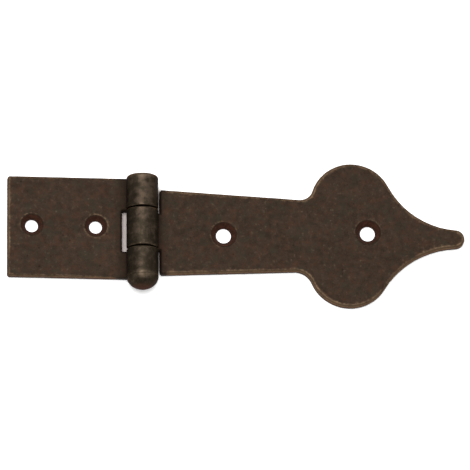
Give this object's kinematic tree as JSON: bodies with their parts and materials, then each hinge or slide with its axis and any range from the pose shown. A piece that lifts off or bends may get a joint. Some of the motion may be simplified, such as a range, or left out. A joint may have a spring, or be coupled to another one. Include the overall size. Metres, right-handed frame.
{
  "type": "strap hinge",
  "caption": "Rolled strap hinge in aged steel: a short rectangular frame leaf and a long tapered strap with a spade tip, joined by a domed pin.",
  "frame": {"origin": "on the back face of the frame leaf, midway between its two screw holes", "axes": "+X along the strap towards its spade tip, +Y along the pin towards its plain end, +Z out of the mounting plane towards the barrel"},
  "size_m": [0.1437, 0.0466, 0.01],
  "materials": {
    "aged_steel_plate": "rust-browned and waxed steel sheet, rubbed lighter along its edges",
    "aged_steel_pin": "rust-browned and waxed steel pin, rubbed brighter on its head"
  },
  "bodies": {
    "frame_side": {"frame_leaf": "aged_steel_plate", "hinge_pin": "aged_steel_pin"},
    "door_side": {"strap_leaf": "aged_steel_plate"}
  },
  "joints": [
    {"name": "strap_swing", "type": "hinge", "parent": "frame_side", "child": "door_side", "pos_m": [0.0243, 0, 0.005], "axis": [0, -1, 0], "range_deg": [-90, 180]}
  ]
}
